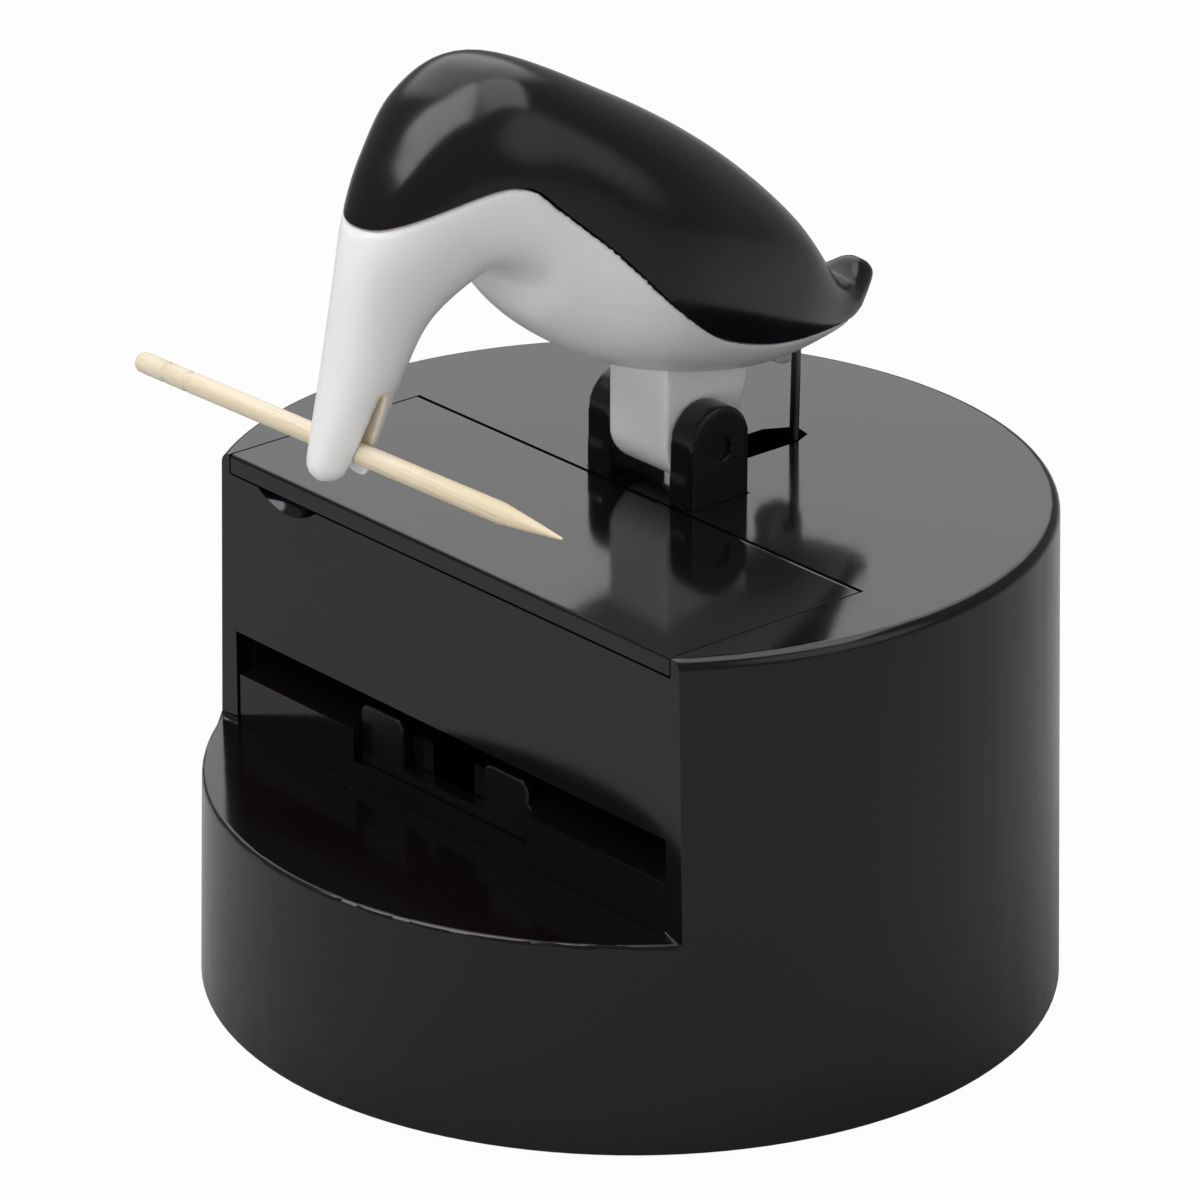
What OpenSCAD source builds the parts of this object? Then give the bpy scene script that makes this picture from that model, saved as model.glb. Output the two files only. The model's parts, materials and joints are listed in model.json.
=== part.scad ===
// Toothpick dispenser: a bird on a round base tips forward and fetches a toothpick.
// Millimetres, +Z up, front faces -Y, origin at the centre of the footprint on the table.

/* [Base] */
// Radius of the drum at its foot
foot_r = 44.2; // [43:0.1:46]
// Radius of the drum at the roof, smaller by the mould draft
roof_r = 43.1; // [42.6:0.1:44]
// Height of the roof above the table
roof_z = 52.8; // [50:0.1:56]
// Distance of the flat front from the centre
front_y = 24.6; // [24:0.1:25.5]
// Height of the shelf in front of the window
shelf_z = 23.1; // [22:0.1:24]
// Thickness of the mouldings' walls
wall = 2; // [1.6:0.1:2.4]
// Radius of the rounded roof edge
roof_round = 1.2; // [0.5:0.1:1.6]

/* [Window and tray] */
// Width of the window
window_w = 67; // [66:0.5:68]
// Top of the window
window_top = 33.4; // [32:0.1:35]
// Height of the sill that the toothpicks roll onto
sill_z = 28.6; // [27.5:0.1:29.5]
// Slope of the tray floor, degrees
floor_slope = 16; // [10:1:22]

/* [Refill lid] */
// Width of the lid
lid_w = 67.8; // [66:0.1:68]
// Depth of the lid, front to back
lid_d = 24.85; // [22:0.05:25]
// Thickness of the lid
lid_t = 2; // [1.6:0.1:2.2]
// Gap round the lid
lid_gap = 0.2; // [0.15:0.05:0.4]

/* [Bird mounting] */
// Distance of the bird's pivot behind the centre
pivot_y = 5; // [4.5:0.1:5.5]
// Height of the bird's pivot
pivot_z = 58.5; // [58:0.1:59]
// Radius of the pivot pin
pin_r = 1.2; // [0.8:0.1:1.3]
// Clear width between the ears
ear_gap = 9.2; // [9.1:0.1:9.6]
// Thickness of each ear
ear_t = 3.4; // [3:0.1:3.6]
// How far the bird tips forward, degrees
tip_angle = 51.5; // [40:0.5:51.5]

/* [Mechanism] */
// Diameter of the wire
wire_d = 1; // [0.8:0.1:1.2]
// Place of the wire's upper hook behind the centre
hook_y = 22; // [21:0.1:23]
// Height of the wire's upper hook
hook_z = 63; // [62.5:0.1:63.5]
// Place of the lever's axle in front of the centre
axle_y = -13; // [-14:0.5:-12]
// Height of the lever's axle
axle_z = 17; // [16:0.5:18]
// Length of the lever's rear arm
rear_arm = 34.5; // [33:0.5:35]
// Length of the lever's front arm
front_arm = 9.6; // [9:0.1:10]
// Slope of the lever at rest, degrees
lever_rest = 11; // [9:0.5:12]

/* [Toothpick] */
// Length of the toothpick
pick_len = 65; // [60:1:66]
// Diameter of the toothpick
pick_d = 2.2; // [2:0.1:2.4]
// Place of the toothpick in the beak in front of the centre
pick_y = 36.4; // [36:0.1:37]
// Height of the toothpick in the beak
pick_z = 67; // [66:0.1:68]
// Slant at which the beak holds the toothpick, degrees
pick_slant = 1.2; // [0:0.1:1.5]
// How far the toothpick sticks out more on the left
pick_shift = 0.4; // [0:0.1:2]

/* [Bird] */
// Thickness of the bird's shells
shell_t = 1.6; // [1.2:0.1:2]
// Roundness of the bird's cross-section, 2 is an ellipse
section_power = 2.3; // [2:0.1:2.6]

/* [Hidden] */
fine = 96;
eps = 0.02;

// Drum and window
rim_z = 0.5;
roof_under = roof_z - wall;
inner_foot_r = foot_r - wall;
inner_roof_r = roof_r - wall;
wall_back_y = -front_y + wall;
lid_seat_z = roof_z - lid_t - lid_gap;
lid_half = lid_w / 2 + lid_gap;

// Lid: round rear edge, and the pips that hold it
lid_edge_r = 1.2;
lid_edge_y = -front_y + lid_d - lid_edge_r;
lid_edge_z = roof_z - lid_edge_r;
lid_pip_r = 0.7;
lid_pip_len = 1.3;

// Tray
tray_in = 33;
tray_side_t = 1;
tray_floor_t = 1.2;
sill_front = -front_y + 0.2;
sill_t = 0.8;
sill_back = sill_front + sill_t;
tray_rear_y = -0.9;
tray_rim_z = roof_z - lid_t - 0.5;
notch_l = -14.7;
notch_r = 12.6;
notch_z = 25;

// Gate
gate_l = -15.2;
gate_r = 10.9;
finger_w = 6.7;
gate_front = sill_back + 0.2;
gate_t = 1.6;
gate_back = gate_front + gate_t;
gate_mid_y = gate_front + gate_t / 2;
guide_foot = 16.4;
finger_top = 31.2;
bar_top = 26.1;
bar_foot = 21.6;
gate_x = (gate_l + gate_r) / 2;
stem_w = 8;
stem_foot = 13.6;
seat_r = 3.3;
seat_t = 1.4;
yoke_gap = 0.35;
nose_r = 1.3;

// Base plate and what stands on it
plate_z = 1;
plate_t = 2;
plate_top = plate_z + plate_t;
plate_r = inner_foot_r - 0.2;
axle_r = 1.5;
axle_fit = 0.05;
post_x = 6.4;
post_t = 2.4;
post_w = 7;
lever_hub_r = 3.2;
hub_len = 2 * post_x - post_t - 0.4;
screw_places = [[0, 36], [-26, -27.5], [26, -27.5]];
boss_r = 3;
screw_r = 1.2;
foot_places = [[-28, 18], [28, 18], [-16, -34], [16, -34]];
foot_pad_r = 4;

// Lever
lever_x = gate_x;
lever_w = 3;
rod_x = 0.2;
eye_x = -3.3;
eye_t = 2.4;
eye_r = 2.6;
eye_hole_r = 1.4;
rear_rest = [axle_y + rear_arm * cos(lever_rest), axle_z - rear_arm * sin(lever_rest)];
nose_rest = [axle_y - front_arm * cos(lever_rest), axle_z + front_arm * sin(lever_rest)];
// The eye is wider than the wire and set up and back of it, because wire and lever
// swing on different circles.
eye_shift = [0.4, 0.42];

bumper_h = 4.8;
rod_hook_x = -5.2;
bend_extra = 0.08;
rod_cap_r = 1.5;
rod_cap_t = 0.8;

// Spring
spring_wire = 0.6;
spring_mean_r = 2.7;
spring_turns = 6;
spring_foot = plate_top + 0.05;
spring_top = stem_foot - seat_t - 0.05;

// The wire leans forward as the bird tips, so its slot reaches ahead of the tipped hook
slot_front = pivot_y + (hook_y - pivot_y) * cos(tip_angle) - (hook_z - pivot_z) * sin(tip_angle) + 1.3;

// Ears
ear_front = 1;
ear_back = 8.7;
ear_r = (ear_back - ear_front) / 2;
ear_mid = (ear_back + ear_front) / 2;
ear_top_z = pivot_z + 0.7 + ear_r;
ear_places = [ear_gap / 2, -ear_gap / 2 - ear_t];
bracket_top = roof_under - 0.05;
bracket_t = 2;

// Leg
leg_w = 8.8;
leg_r = pivot_y - 0.7;
leg_top = 69;
lug_r = 2.4;

// Bird: stations from the tip of the beak over the head to the tail. Each has a point on
// the outer outline, the facing point on the throat or belly, and half the width.
STATIONS = [
    [-40.2, 64.6, -34.6, 63.8, 1.0],
    [-41.0, 65.8, -34.0, 64.9, 2.1],
    [-40.8, 67.8, -33.8, 66.3, 2.4],
    [-38.7, 75.6, -30.7, 73.3, 3.4],
    [-36.9, 84.6, -27.0, 78.5, 3.9],
    [-34.9, 90.2, -21.2, 82.2, 6.1],
    [-31.5, 95.6, -18.7, 82.1, 8.1],
    [-25.7, 101.3, -16.7, 80.0, 10.4],
    [-17.9, 103.2, -15.2, 75.5, 11.7],
    [-4.7, 96.8, -9.1, 70.6, 14.8],
    [6.7, 89.5, -1.8, 67.3, 14.1],
    [16.8, 80.6, 10.2, 64.5, 11.1],
    [23.2, 72.4, 21.2, 64.7, 7.0],
    [26.4, 69.9, 27.5, 66.2, 4.6],
    [29.1, 70.8, 32.5, 68.9, 1.6]
];
// Line where the black back meets the white belly, seen from the side
PARTING = [[-42, 88.2], [-35.5, 89.6], [-33, 90.4], [-28, 92.3], [-25, 93.3], [-23, 93.5],
           [-21, 92.8], [-18.5, 90.5], [-13, 85.3], [-7.7, 79.6], [-2.7, 75.3], [2, 72.3],
           [8, 70], [14, 68.6], [21, 67.4], [25, 66.9], [34, 66]];
ring_points = 28;
ring_steps = 3;

function spline(p, i, t) =
    let (n = len(p) - 1,
         a = i > 0 ? p[i - 1] : 2 * p[0] - p[1],
         b = p[i],
         c = p[i + 1],
         d = i < n - 1 ? p[i + 2] : 2 * p[n] - p[n - 1])
    0.5 * (2 * b + (c - a) * t + (2 * a - 5 * b + 4 * c - d) * t * t + (3 * b - 3 * c + d - a) * pow(t, 3));

function smooth(p, from, to, steps) =
    [for (k = [from * steps : to * steps]) spline(p, min(floor(k / steps), len(p) - 2),
                                                 k / steps - min(floor(k / steps), len(p) - 2))];

function bulge(v) = sign(v) * pow(abs(v), 2 / section_power);

function ring(s, inset) =
    let (mid = [s[0] + s[2], s[1] + s[3]] / 2,
         half = [s[0] - s[2], s[1] - s[3]] / 2,
         len_half = norm(half),
         a = max(len_half - inset, 0.3),
         w = max(s[4] - inset, 0.3))
    [for (k = [0 : ring_points - 1]) let (t = 360 * k / ring_points, c = bulge(cos(t)), q = bulge(sin(t)))
        [w * q, mid[0] + half[0] / len_half * a * c, mid[1] + half[1] / len_half * a * c]];

// Closed solid through the rings of some stations
module loft(from, to, inset) {
    sections = smooth(STATIONS, from, to, ring_steps);
    m = len(sections);
    n = ring_points;
    points = [for (s = sections) each ring(s, inset)];
    sides = [for (i = [0 : m - 2], j = [0 : n - 1])
        each [[i * n + j, (i + 1) * n + (j + 1) % n, i * n + (j + 1) % n],
              [i * n + j, (i + 1) * n + j, (i + 1) * n + (j + 1) % n]]];
    caps = [[for (j = [0 : n - 1]) j], [for (j = [n - 1 : -1 : 0]) (m - 1) * n + j]];
    polyhedron(points, concat(sides, caps), convexity = 6);
}

// Everything above (or below) the parting line, wider than the bird
module above_parting(lift = 0) {
    line = smooth(PARTING, 0, len(PARTING) - 1, 2);
    rotate([90, 0, 90])
        translate([0, 0, -20])
            linear_extrude(40)
                polygon(concat([for (p = line) p + [0, lift]], [[34, 110], [-42, 110]]));
}

// A plate lying across X: its outline is drawn in Y and Z
module side_plate(x, width) {
    translate([x, 0, 0])
        rotate([90, 0, 90])
            linear_extrude(width)
                children();
}

// A rod lying along X
module cross_rod(x, y, z, r, length) {
    translate([x, y, z])
        rotate([0, 90, 0])
            cylinder(r = r, h = length, $fn = 48);
}

module block(from, to) {
    translate(from)
        cube(to - from);
}

module drum_outline() {
    edge = [roof_r - roof_round, roof_z - roof_round];
    polygon(concat([[0, rim_z], [foot_r, rim_z]],
                   [for (a = [0 : 15 : 90]) edge + roof_round * [cos(a), sin(a)]],
                   [[0, roof_z]]));
}

module hollow_outline() {
    polygon([[0, -1], [inner_foot_r, -1], [inner_roof_r, roof_under], [0, roof_under]]);
}

// Bosses that take the lid's snap pips, under the roof
module lid_bosses() {
    boss_w = 2.4;
    for (x = [lid_half, -lid_half - boss_w])
        block([x, lid_edge_y - 2, lid_edge_z - 2.4], [x + boss_w, lid_edge_y + 2, roof_under + eps]);
}

module housing() {
    color("#1b1b1d")
    difference() {
        union() {
            difference() {
                rotate_extrude($fn = fine) drum_outline();
                rotate_extrude($fn = fine) hollow_outline();
                // upper front, cut flat
                block([-60, -60, shelf_z], [60, -front_y, 70]);
            }
            // the flat front and the shelf, inside the drum
            intersection() {
                union() {
                    block([-60, -front_y, shelf_z - wall], [60, wall_back_y, roof_z - 1]);
                    block([-60, -60, shelf_z - wall], [60, sill_back, shelf_z]);
                }
                rotate_extrude($fn = fine)
                    polygon([[0, 1], [foot_r - 0.8, 1], [roof_r - 0.8, roof_z - 0.5], [0, roof_z - 0.5]]);
            }
            intersection() {
                union() {
                    lid_bosses();
                    for (p = screw_places)
                        translate([p[0], p[1], plate_top + 0.1])
                            cylinder(r = boss_r, h = (p[1] > 0 ? roof_under : shelf_z - wall) - plate_top,
                                     $fn = 48);
                    // rib that ties the rear boss to the wall
                    block([-1, 36, plate_top + 0.1], [1, 43, roof_under + eps]);
                }
                rotate_extrude($fn = fine)
                    polygon([[0, 1], [foot_r - 0.8, 1], [roof_r - 0.8, roof_z - 0.5], [0, roof_z - 0.5]]);
            }
        }
        // window
        block([-window_w / 2, -front_y - 1, shelf_z], [window_w / 2, wall_back_y + 1, window_top]);
        // way down for the gate, behind the shelf
        block([-window_w / 2, sill_back, shelf_z - wall - 1], [window_w / 2, wall_back_y + 1, shelf_z + 1]);
        // lid opening
        block([-lid_half, -front_y - 1, lid_seat_z], [lid_half, -front_y + lid_d + lid_gap, roof_z + 1]);
        // sockets for the lid's snap pips
        cross_rod(-lid_half - lid_pip_len, lid_edge_y, lid_edge_z, lid_pip_r + 0.06,
                  2 * (lid_half + lid_pip_len));
        // room for the lid's round edge
        cross_rod(-lid_half, lid_edge_y, lid_edge_z, lid_edge_r + lid_gap, 2 * lid_half);
        // scoop for a finger nail under the lid's lip
        translate([-24.8, -front_y - 1, lid_seat_z + 6.3])
            rotate([-90, 0, 0])
                cylinder(r = 7.85, h = wall + 2, $fn = fine);
        // slots for the ears
        for (x = ear_places)
            block([x - 0.1, ear_front - 0.1, roof_under - 1], [x + ear_t + 0.1, ear_back + 0.1, roof_z + 1]);
        // slot for the wire, cut off aslant at the rear
        translate([0, 0, roof_under - 1])
            linear_extrude(wall + 2)
                polygon([[-3.9, slot_front], [1, slot_front], [1, 21.6], [0.1, 23.8], [-2.2, 24.3],
                         [-3.9, 21.2]]);
        for (p = screw_places)
            translate([p[0], p[1], 0])
                cylinder(r = screw_r + 0.05, h = 16, $fn = 32);
    }
}

// Height of the tray floor at a place behind the sill
function floor_z(y) = sill_z + (y - sill_front) * tan(floor_slope);

module magazine_tray() {
    color("#232325")
    difference() {
        union() {
            // sill, standing on the shelf
            block([-tray_in - 0.2, sill_front, shelf_z + 0.05], [tray_in + 0.2, sill_back, sill_z]);
            // sloping floor
            side_plate(-tray_in, 2 * tray_in)
                polygon([[sill_front, sill_z], [tray_rear_y, floor_z(tray_rear_y)],
                         [tray_rear_y, floor_z(tray_rear_y) - tray_floor_t],
                         [sill_front, sill_z - tray_floor_t]]);
            // side walls and rear wall
            for (x = [-tray_in - tray_side_t, tray_in])
                side_plate(x, tray_side_t)
                    polygon([[wall_back_y + 0.1, shelf_z + 1], [wall_back_y + 0.1, tray_rim_z],
                             [tray_rear_y, tray_rim_z], [tray_rear_y, floor_z(tray_rear_y) - tray_floor_t],
                             [wall_back_y + 5, shelf_z + 1]]);
            block([-tray_in - tray_side_t, tray_rear_y - tray_floor_t, floor_z(tray_rear_y) - tray_floor_t],
                  [tray_in + tray_side_t, tray_rear_y, tray_rim_z - 1.6]);
            // guide wall behind the gate, with cheeks at its ends
            block([gate_l - 1.6, gate_back + 0.2, guide_foot], [gate_r + 1.6, gate_back + 1.6, sill_z]);
            for (x = [gate_l - 1.4, gate_r + 0.2])
                block([x, sill_back + 0.1, guide_foot], [x + 1.2, gate_back + 0.4, sill_z]);
        }
        // notch in the sill and the floor for the gate
        block([notch_l, sill_front - 1, notch_z], [notch_r, sill_back + eps, sill_z + 2]);
        block([gate_l - 0.2, sill_back, sill_z - 3], [gate_r + 0.2, gate_back + 0.2, sill_z + 3]);
        // dip for the rear tip of the beak
        translate([gate_x, -17.5, 0])
            cylinder(r = 5.2, h = 60, $fn = 48);
        // way through the guide wall for the lever's nose
        block([lever_x - lever_w / 2 - 0.6, gate_back, 15], [lever_x + lever_w / 2 + 0.6, -19, 22.4]);
    }
}

module base_plate() {
    color("#202022")
    difference() {
        union() {
            translate([0, 0, plate_z])
                cylinder(r = plate_r, h = plate_t, $fn = fine);
            // posts for the lever's axle
            for (side = [-1, 1])
                translate([lever_x + side * post_x - post_t / 2, 0, 0])
                    side_plate(0, post_t)
                        union() {
                            translate([axle_y - post_w / 2, plate_top - eps])
                                square([post_w, axle_z - plate_top]);
                            translate([axle_y, axle_z])
                                circle(r = post_w / 2, $fn = 64);
                        }
            // spigot that holds the spring
            translate([gate_x, gate_mid_y, plate_top - eps])
                cylinder(r = 1.9, h = 2.6, $fn = 32);
            // stand for the bumper
            translate([lever_x, rear_rest[0] - 5, plate_top - eps])
                cylinder(r = 3.4, h = 1.5, $fn = 48);
        }
        cross_rod(-20, axle_y, axle_z, axle_r + 0.02, 40);
        for (p = screw_places)
            translate([p[0], p[1], 0]) {
                cylinder(r = screw_r + 0.2, h = 8, $fn = 32);
                translate([0, 0, plate_z - 1]) cylinder(r = 2.7, h = 2, $fn = 32);
            }
        for (p = foot_places)
            translate([p[0], p[1], 0])
                cylinder(r = foot_pad_r + 0.1, h = plate_z + 0.6, $fn = 48);
    }
}

module base_screws() {
    color("silver")
    for (p = screw_places)
        translate([p[0], p[1], plate_z])
            difference() {
                union() {
                    translate([0, 0, -0.4]) cylinder(r = 2.5, h = 1.4, $fn = 32);
                    cylinder(r = screw_r, h = 12, $fn = 32);
                }
                for (turn = [0, 90])
                    rotate([0, 0, turn])
                        translate([-1.5, -0.3, -1]) cube([3, 0.6, 1.2]);
            }
}

module rubber_feet() {
    color("#2c2c2c")
    for (p = foot_places)
        translate([p[0], p[1], 0])
            cylinder(r = foot_pad_r, h = plate_z + 0.6, $fn = 48);
}

module ear_outline() {
    translate([ear_mid, ear_top_z - ear_r]) circle(r = ear_r, $fn = 64);
    translate([ear_front, roof_under - 0.5])
        square([ear_back - ear_front, ear_top_z - ear_r - roof_under + 0.5]);
}

module pivot_bracket() {
    color("#161617")
    difference() {
        union() {
            for (x = ear_places) {
                side_plate(x, ear_t) ear_outline();
                // latch rib at the foot
                block([x + 0.3, ear_front - 0.35, roof_z + 0.05], [x + 2.3, ear_front + 0.5, roof_z + 3]);
            }
            // plate under the roof
            block([-11, ear_front - 0.4, bracket_top - bracket_t], [11, ear_back + 2, bracket_top]);
        }
        cross_rod(-20, pivot_y, pivot_z, pin_r + 0.02, 40);
    }
}

module pivot_pin() {
    color("#2a2a2c")
    cross_rod(-ear_gap / 2 - ear_t + 0.4, pivot_y, pivot_z, pin_r, ear_gap + 2 * ear_t - 0.8);
}

module lever_axle() {
    color("silver")
    cross_rod(lever_x - post_x - post_t / 2 - 1.6, axle_y, axle_z, axle_r, 2 * post_x + post_t + 3.2);
}

module axle_clips() {
    color("#8d8f92")
    for (side = [-1, 1])
        translate([lever_x + side * (post_x + post_t / 2 + 0.8), 0, 0])
            difference() {
                cross_rod(-0.4, axle_y, axle_z, 2.8, 0.8);
                cross_rod(-1, axle_y, axle_z, axle_r + 0.02, 2);
                block([-1, axle_y - 0.9, axle_z], [1, axle_y + 0.9, axle_z + 4]);
            }
}

// Unbroken helix of round wire, its ends laid flat by a smaller pitch
function coil_rise(u) = u < 1 ? 0.16 * u * u / 2 : u > spring_turns - 1
    ? 1 - 0.16 * pow(spring_turns - u, 2) / 2 : 0.08 + (u - 1) * 0.84 / (spring_turns - 2);
function coil_point(u) = [spring_mean_r * cos(360 * u), spring_mean_r * sin(360 * u),
    spring_foot + spring_wire / 2 + coil_rise(u) * (spring_top - spring_foot - spring_wire)];
coil_steps = 8;
coil_sides = 6;
least_coil_gap = min([for (k = [0 : coil_steps * (spring_turns - 1)])
    norm(coil_point(k / coil_steps + 1) - coil_point(k / coil_steps)) - spring_wire]);

module gate_spring() {
    count = coil_steps * spring_turns;
    path = [for (k = [0 : count]) coil_point(k / coil_steps)];
    rings = [for (k = [0 : count])
        let (u = 360 * k / coil_steps, out = [cos(u), sin(u), 0])
        each [for (j = [0 : coil_sides - 1]) let (a = 360 * j / coil_sides)
            path[k] + spring_wire / 2 * (cos(a) * out + sin(a) * [0, 0, 1])]];
    sides = [for (k = [0 : count - 1], j = [0 : coil_sides - 1])
        let (a = k * coil_sides + j, b = k * coil_sides + (j + 1) % coil_sides)
        each [[a, b, b + coil_sides], [a, b + coil_sides, a + coil_sides]]];
    caps = [[for (j = [coil_sides - 1 : -1 : 0]) j], [for (j = [0 : coil_sides - 1]) count * coil_sides + j]];
    echo(least_coil_gap = least_coil_gap);
    color("silver")
    translate([gate_x, gate_mid_y, 0])
        polyhedron(rings, concat(sides, caps), convexity = 10);
}

module lever_bumper() {
    color("#333333")
    translate([lever_x, rear_rest[0] - 5, plate_top + 1.5])
        cylinder(r = 2.6, h = bumper_h, $fn = 48);
}

module refill_lid() {
    color("#1d1d1f")
    union() {
        block([-lid_w / 2, -front_y, roof_z - lid_t], [lid_w / 2, lid_edge_y, roof_z]);
        cross_rod(-lid_w / 2, lid_edge_y, lid_edge_z, lid_edge_r, lid_w);
        cross_rod(-lid_w / 2 - lid_pip_len, lid_edge_y, lid_edge_z, lid_pip_r, lid_w + 2 * lid_pip_len);
    }
}

module back_shell() {
    color("#121214")
    difference() {
        intersection() {
            loft(0, len(STATIONS) - 1, 0);
            above_parting();
        }
        loft(5.3, len(STATIONS) - 2.4, shell_t);
    }
}

module belly_shell() {
    color("#f1efec")
    difference() {
        loft(0, len(STATIONS) - 1, 0);
        above_parting(-0.02);
        loft(5.3, len(STATIONS) - 2.4, shell_t);
        // slit of the beak, open at the tip
        side_plate(-10, 20)
            union() {
                translate([-pick_y, pick_z]) circle(r = pick_d / 2 + 0.12, $fn = 40);
                polygon([[-pick_y - 1.0, pick_z], [-pick_y + 1.0, pick_z], [-34.2, 72.7], [-34.8, 72.9]]);
                polygon([[-pick_y - 0.9, pick_z + 0.3], [-pick_y + 0.9, pick_z + 0.3],
                         [-pick_y + 0.8, 60], [-pick_y - 1.9, 60]]);
            }
        // opening for the leg and slot for the lug
        block([-leg_w / 2 - 0.05, pivot_y - leg_r - 0.05, 60], [leg_w / 2 + 0.05, 11.95, leg_top + 0.1]);
        block([eye_x - 0.05, 3.95, 60], [eye_x + eye_t + 0.05, hook_y + lug_r + 0.05, 70]);
    }
}

module leg_outline() {
    translate([pivot_y, pivot_z]) circle(r = leg_r, $fn = 64);
    polygon([[pivot_y - leg_r, pivot_z], [pivot_y + leg_r, pivot_z], [10.8, 60.6], [11.9, 64.1],
             [11.9, leg_top], [pivot_y - leg_r, leg_top]]);
}

module swing_frame() {
    color("#eceae6")
    difference() {
        union() {
            side_plate(-leg_w / 2, leg_w) leg_outline();
            // bar inside the belly that carries the lug
            side_plate(eye_x, eye_t)
                union() {
                    polygon([[4, 64.4], [4, 69.5], [18, 69], [hook_y + lug_r, 66.3], [hook_y + lug_r, hook_z],
                             [hook_y - lug_r, hook_z], [hook_y - lug_r, 64.4]]);
                    translate([hook_y, hook_z]) circle(r = lug_r, $fn = 48);
                }
        }
        cross_rod(-20, pivot_y, pivot_z, pin_r + 0.05, 40);
        cross_rod(-20, hook_y, hook_z, wire_d / 2 + 0.05, 40);
    }
}

module link_rod() {
    color("#7b7d80")
    union() {
        top = [hook_y, hook_z];
        translate([rod_x, 0, 0]) side_rod(top, rear_rest);
        for (p = [top, rear_rest]) {
            cross_rod(rod_hook_x, p[0], p[1], wire_d / 2, rod_x - rod_hook_x);
            // the bends stand a little proud of the wire
            translate([rod_x, p[0], p[1]]) sphere(d = wire_d + bend_extra, $fn = 32);
        }
    }
}

// Round bar in the plane of Y and Z
module side_rod(from, to) {
    run = to - from;
    translate([0, from[0], from[1]])
        rotate([atan2(run[1], run[0]) - 90, 0, 0])
            cylinder(d = wire_d, h = norm(run), $fn = 32);
}

module rod_cap(x, p) {
    color("#505255")
    difference() {
        cross_rod(x, p[0], p[1], rod_cap_r, rod_cap_t);
        cross_rod(x - 1, p[0], p[1], wire_d / 2 + 0.02, rod_cap_t + 2);
    }
}

module rod_cap_upper() {
    rod_cap(eye_x - 0.25 - rod_cap_t, [hook_y, hook_z]);
}

module rod_cap_lower() {
    rod_cap(lever_x - lever_w / 2 - 0.25 - rod_cap_t, rear_rest);
}

module lifter_lever() {
    left = lever_x - lever_w / 2;
    color("#cfcbc2")
    difference() {
        union() {
            translate([0, axle_y, axle_z])
                rotate([-lever_rest, 0, 0]) {
                    // arms, deeper near the axle
                    side_plate(left, lever_w)
                        polygon([[-front_arm, 0.9], [-3, 2.2], [3, 2.2], [rear_arm - 1, 1.4],
                                 [rear_arm - 1, -1.4], [3, -2.2], [-3, -2.2], [-front_arm, -0.9]]);
                    cross_rod(left, -front_arm, 0, nose_r, lever_w);
                }
            translate([0, rear_rest[0] + eye_shift[0], rear_rest[1] + eye_shift[1]])
                cross_rod(left, 0, 0, eye_r, lever_w);
            cross_rod(lever_x - hub_len / 2, axle_y, axle_z, lever_hub_r, hub_len);
        }
        cross_rod(-20, axle_y, axle_z, axle_r + axle_fit, 40);
        cross_rod(-20, rear_rest[0] + eye_shift[0], rear_rest[1] + eye_shift[1], eye_hole_r, 40);
    }
}

// A plate standing across Y: its outline is drawn in X and Z
module front_plate(y, thickness) {
    translate([0, y + thickness, 0])
        rotate([90, 0, 0])
            linear_extrude(thickness)
                children();
}

// Upright tab with round upper corners
module finger_outline(x, top) {
    round_r = 1.2;
    translate([x, bar_foot]) square([finger_w, top - round_r - bar_foot]);
    translate([x + round_r, top - round_r - eps]) square([finger_w - 2 * round_r, round_r + eps]);
    for (cx = [x + round_r, x + finger_w - round_r])
        translate([cx, top - round_r]) circle(r = round_r, $fn = 32);
}

module gate_fork() {
    color("#1a1a1c")
    difference() {
        union() {
            front_plate(gate_front, gate_t)
                translate([gate_l, bar_foot]) square([gate_r - gate_l, bar_top - bar_foot]);
            front_plate(gate_front + 0.35, gate_t - 0.35)
                for (x = [gate_l, gate_r - finger_w]) finger_outline(x, finger_top);
            front_plate(gate_front, gate_t)
                translate([gate_x - stem_w / 2, stem_foot - eps])
                    square([stem_w, bar_foot - stem_foot + 2 * eps]);
            translate([gate_x, gate_mid_y, stem_foot - seat_t])
                cylinder(r = seat_r, h = seat_t, $fn = 48);
            translate([gate_x, gate_mid_y, stem_foot - seat_t - 1.2])
                cylinder(r = 1.9, h = 1.3, $fn = 32);
        }
        // window in which the lever's nose works
        block([lever_x - lever_w / 2 - 0.4, gate_front - 1, nose_rest[1] - nose_r - yoke_gap],
              [lever_x + lever_w / 2 + 0.4, gate_back + 1, nose_rest[1] + nose_r + yoke_gap]);
    }
}

module toothpick() {
    half = pick_len / 2;
    point = 9;
    r = pick_d / 2;
    color("#e6cfa0")
    translate([-pick_shift, -pick_y, pick_z])
        rotate([0, 90 - pick_slant, 0])
            rotate_extrude($fn = 48)
                polygon([[0, -half], [r - 0.25, -half], [r, -half + 0.3], [r, -half + 4.4],
                         [r - 0.25, -half + 4.7], [r, -half + 5], [r, -half + 7.9], [r - 0.25, -half + 8.2],
                         [r, -half + 8.5], [r, half - point], [0.25, half - 0.3], [0, half]]);
}

housing();
magazine_tray();
base_plate();
base_screws();
rubber_feet();
pivot_bracket();
pivot_pin();
lever_axle();
axle_clips();
gate_spring();
lever_bumper();
refill_lid();
back_shell();
belly_shell();
swing_frame();
link_rod();
rod_cap_upper();
rod_cap_lower();
lifter_lever();
gate_fork();
toothpick();
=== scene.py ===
import json
import math

import bmesh
import bpy
from mathutils import Matrix, Vector


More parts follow.
